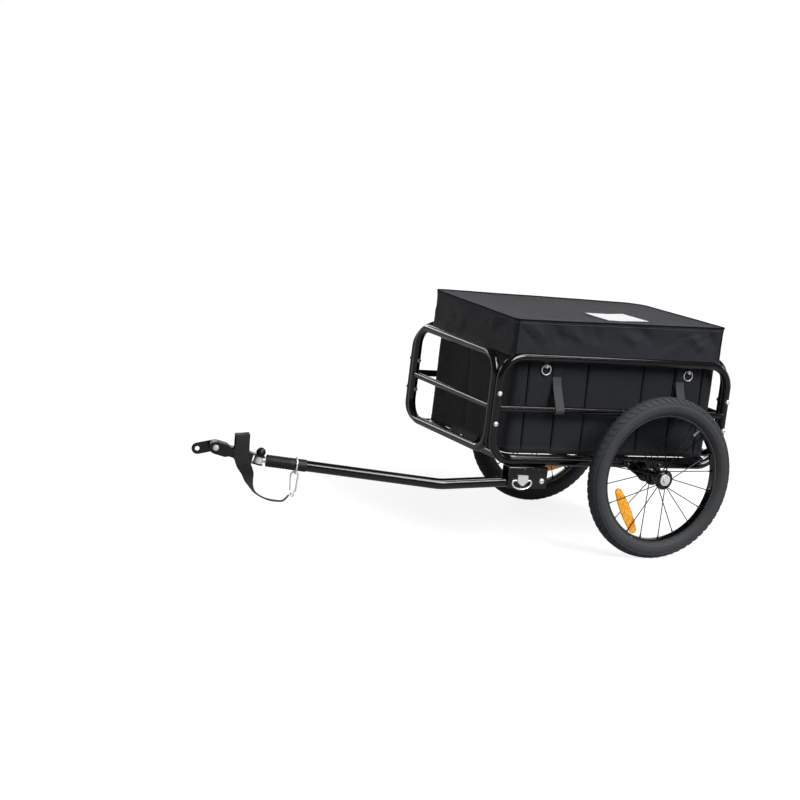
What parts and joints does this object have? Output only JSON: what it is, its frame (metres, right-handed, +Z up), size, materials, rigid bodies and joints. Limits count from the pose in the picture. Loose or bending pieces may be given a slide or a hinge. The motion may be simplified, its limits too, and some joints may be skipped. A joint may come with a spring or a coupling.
{
  "type": "bike cargo trailer",
  "caption": "Cargo trailer for a bicycle: bent-tube frame, spoked quick-release wheels, fabric box with a fitted cover and a folding drawbar with a pivoting hitch.",
  "frame": {"origin": "on the ground, under the middle of the trailer's length and width, with the frame level", "axes": "+X forward along the trailer towards the hitch, +Y to the trailer's left, +Z up"},
  "size_m": [1.3655, 0.6538, 0.5709],
  "materials": {
    "black_paint": "gloss",
    "zinc_steel": "bright",
    "tyre_rubber": "matte",
    "soft_rubber": "matte",
    "black_plastic": "satin",
    "coated_polyester": "matte",
    "grey_webbing": "matte",
    "amber_plastic": "gloss"
  },
  "bodies": {
    "frame": {"side_frame_left": "black_paint", "side_frame_right": "black_paint", "front_frame": "black_paint", "rear_frame": "black_paint", "floor_frame": "black_paint", "corner_bolt_front_left_upper": "zinc_steel", "corner_bolt_front_left_lower": "zinc_steel", "corner_bolt_front_right_upper": "zinc_steel", "corner_bolt_front_right_lower": "zinc_steel", "corner_bolt_rear_left_upper": "zinc_steel", "corner_bolt_rear_left_lower": "zinc_steel", "corner_bolt_rear_right_upper": "zinc_steel", "corner_bolt_rear_right_lower": "zinc_steel", "axle_plate_left": "black_paint", "axle_plate_right": "black_paint", "drawbar_bracket": "black_paint", "pivot_bolt": "zinc_steel", "fabric_box": "coated_polyester", "ring_stud_left_front": "zinc_steel", "ring_stud_left_rear": "zinc_steel", "ring_stud_right_front": "zinc_steel", "ring_stud_right_rear": "zinc_steel"},
    "quick_release_axle_left": {"axle_left": "zinc_steel"},
    "wheel_left": {"tyre_left": "tyre_rubber", "inner_tube_left": "soft_rubber", "rim_left": "black_paint", "spoked_hub_left": "black_paint", "outer_bearing_left": "zinc_steel", "inner_bearing_left": "zinc_steel", "reflector_left": "amber_plastic"},
    "button_left": {"release_button_left": "zinc_steel"},
    "quick_release_axle_right": {"axle_right": "zinc_steel"},
    "wheel_right": {"tyre_right": "tyre_rubber", "inner_tube_right": "soft_rubber", "rim_right": "black_paint", "spoked_hub_right": "black_paint", "outer_bearing_right": "zinc_steel", "inner_bearing_right": "zinc_steel", "reflector_right": "amber_plastic"},
    "button_right": {"release_button_right": "zinc_steel"},
    "cover": {"cover": "coated_polyester"},
    "d_ring_left_front": {"d_ring_left_front": "zinc_steel"},
    "d_ring_left_rear": {"d_ring_left_rear": "zinc_steel"},
    "d_ring_right_front": {"d_ring_right_front": "zinc_steel"},
    "d_ring_right_rear": {"d_ring_right_rear": "zinc_steel"},
    "drawbar": {"drawbar": "black_paint", "drawbar_sleeve": "soft_rubber", "hitch_tongue": "zinc_steel", "strap_ring": "zinc_steel", "snap_hook": "zinc_steel", "safety_strap_tail": "grey_webbing"},
    "gate": {"snap_hook_gate": "zinc_steel"},
    "yoke": {"hitch_yoke": "black_paint", "safety_strap_loop": "grey_webbing"},
    "hitch_pin": {"hitch_pin": "black_plastic"},
    "coupler": {"coupler_body": "black_plastic", "coupler_bolt": "zinc_steel"},
    "mounting_plate": {"mounting_plate": "black_paint"},
    "lock_pin": {"lock_pin": "zinc_steel"},
    "flip_ring": {"flip_ring": "zinc_steel"}
  },
  "joints": [
    {"name": "axle_pull_left", "type": "slide", "parent": "frame", "child": "quick_release_axle_left", "axis": [0, 1, 0], "range_m": [0, 0.06]},
    {"name": "wheel_spin_left", "type": "hinge", "parent": "quick_release_axle_left", "child": "wheel_left", "pos_m": [-0.4533, 0.297, 0.203], "axis": [0, 1, 0], "continuous": true},
    {"name": "button_press_left", "type": "slide", "parent": "quick_release_axle_left", "child": "button_left", "axis": [0, -1, 0], "range_m": [0, 0.002], "stiffness_N_per_m": 400, "springref_m": -0.002},
    {"name": "axle_pull_right", "type": "slide", "parent": "frame", "child": "quick_release_axle_right", "axis": [0, -1, 0], "range_m": [0, 0.06]},
    {"name": "wheel_spin_right", "type": "hinge", "parent": "quick_release_axle_right", "child": "wheel_right", "pos_m": [-0.4533, -0.297, 0.203], "axis": [0, 1, 0], "continuous": true},
    {"name": "button_press_right", "type": "slide", "parent": "quick_release_axle_right", "child": "button_right", "axis": [0, 1, 0], "range_m": [0, 0.002], "stiffness_N_per_m": 400, "springref_m": -0.002},
    {"name": "cover_lift", "type": "slide", "parent": "frame", "child": "cover", "axis": [0, 0, 1], "range_m": [0, 0.4]},
    {"name": "d_ring_left_front_swing", "type": "hinge", "parent": "frame", "child": "d_ring_left_front", "pos_m": [-0.1483, 0.2005, 0.4563], "axis": [1, 0, 0], "range_deg": [0, 45]},
    {"name": "d_ring_left_rear_swing", "type": "hinge", "parent": "frame", "child": "d_ring_left_rear", "pos_m": [-0.5633, 0.2005, 0.4563], "axis": [1, 0, 0], "range_deg": [0, 45]},
    {"name": "d_ring_right_front_swing", "type": "hinge", "parent": "frame", "child": "d_ring_right_front", "pos_m": [-0.1483, -0.2005, 0.4563], "axis": [-1, 0, 0], "range_deg": [0, 45]},
    {"name": "d_ring_right_rear_swing", "type": "hinge", "parent": "frame", "child": "d_ring_right_rear", "pos_m": [-0.5633, -0.2005, 0.4563], "axis": [-1, 0, 0], "range_deg": [0, 45]},
    {"name": "drawbar_fold", "type": "hinge", "parent": "frame", "child": "drawbar", "pos_m": [-0.1535, 0.222, 0.1752], "axis": [0, 1, 0], "range_deg": [0, 165]},
    {"name": "gate_open", "type": "hinge", "parent": "drawbar", "child": "gate", "pos_m": [0.45741, 0.11898, 0.11577], "axis": [-0.289, -0.9573, 0], "range_deg": [0, 22], "stiffness_Nm_per_rad": 0.05, "springref_deg": -17.19},
    {"name": "yoke_yaw", "type": "hinge", "parent": "drawbar", "child": "yoke", "pos_m": [0.53545, 0.09542, 0.18319], "axis": [-0.1974, 0.0596, 0.9785], "range_deg": [-60, 60]},
    {"name": "hitch_pin_lift", "type": "slide", "parent": "yoke", "child": "hitch_pin", "axis": [-0.1974, 0.0596, 0.9785], "range_m": [0, 0.03]},
    {"name": "coupler_roll", "type": "hinge", "parent": "yoke", "child": "coupler", "pos_m": [0.61039, 0.07279, 0.19969], "axis": [0.9367, -0.2828, 0.2062], "range_deg": [-45, 45]},
    {"name": "plate_pitch", "type": "hinge", "parent": "coupler", "child": "mounting_plate", "pos_m": [0.63535, 0.06526, 0.20518], "axis": [0.289, 0.9573, 0], "range_deg": [-30, 30]},
    {"name": "lock_pin_pull", "type": "slide", "parent": "frame", "child": "lock_pin", "axis": [0, 1, 0], "range_m": [0, 0.045]},
    {"name": "flip_ring_swing", "type": "hinge", "parent": "lock_pin", "child": "flip_ring", "pos_m": [-0.0963, 0.2426, 0.1775], "axis": [1, 0, 0], "range_deg": [0, 140]}
  ]
}
